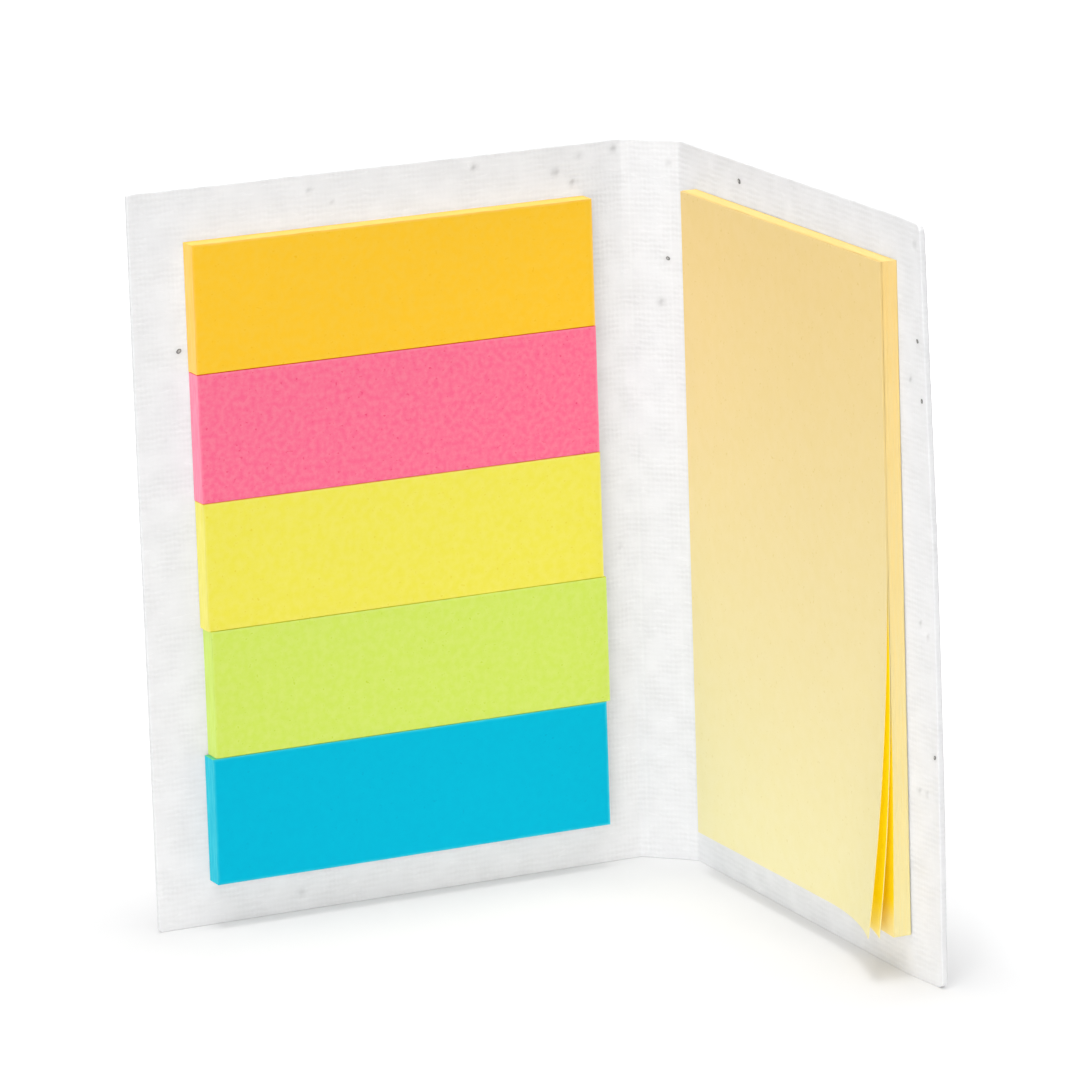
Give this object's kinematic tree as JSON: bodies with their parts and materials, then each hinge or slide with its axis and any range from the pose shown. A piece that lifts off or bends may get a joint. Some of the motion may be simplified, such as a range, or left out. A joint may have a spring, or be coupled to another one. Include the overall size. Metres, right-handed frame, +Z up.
{
  "type": "seed paper notepad",
  "caption": "Folded seed paper cover standing open, with coloured page marker pads inside its front and a pad of sticky notes inside its back.",
  "frame": {"origin": "on the ground, under the middle of the box of the open notepad", "axes": "+Z up, +Y from the opening towards the spine, +X across the spine from the page markers to the sticky notes"},
  "size_m": [0.0946, 0.0446, 0.0864],
  "materials": {
    "cover": "rough handmade pulp with a felt mark",
    "marker_orange": "matt recycled paper",
    "marker_pink": "matt recycled paper",
    "marker_yellow": "matt recycled paper",
    "marker_lime": "matt recycled paper",
    "marker_blue": "matt recycled paper",
    "notes": "matt recycled paper"
  },
  "bodies": {
    "spine": {"spine": "cover"},
    "front": {"front_cover": "cover", "page_markers_orange": "marker_orange", "page_markers_pink": "marker_pink", "page_markers_yellow": "marker_yellow", "page_markers_lime": "marker_lime", "page_markers_blue": "marker_blue"},
    "back": {"back_cover": "cover", "note_pad": "notes"}
  },
  "joints": [
    {"name": "front_crease", "type": "hinge", "parent": "spine", "child": "front", "pos_m": [-0.0036, 0.02165, 0.0432], "axis": [0, 0, 1], "range_deg": [-45.5, 42.5]},
    {"name": "back_crease", "type": "hinge", "parent": "spine", "child": "back", "pos_m": [0.0036, 0.02165, 0.0432], "axis": [0, 0, -1], "range_deg": [-45.5, 42.5]}
  ]
}
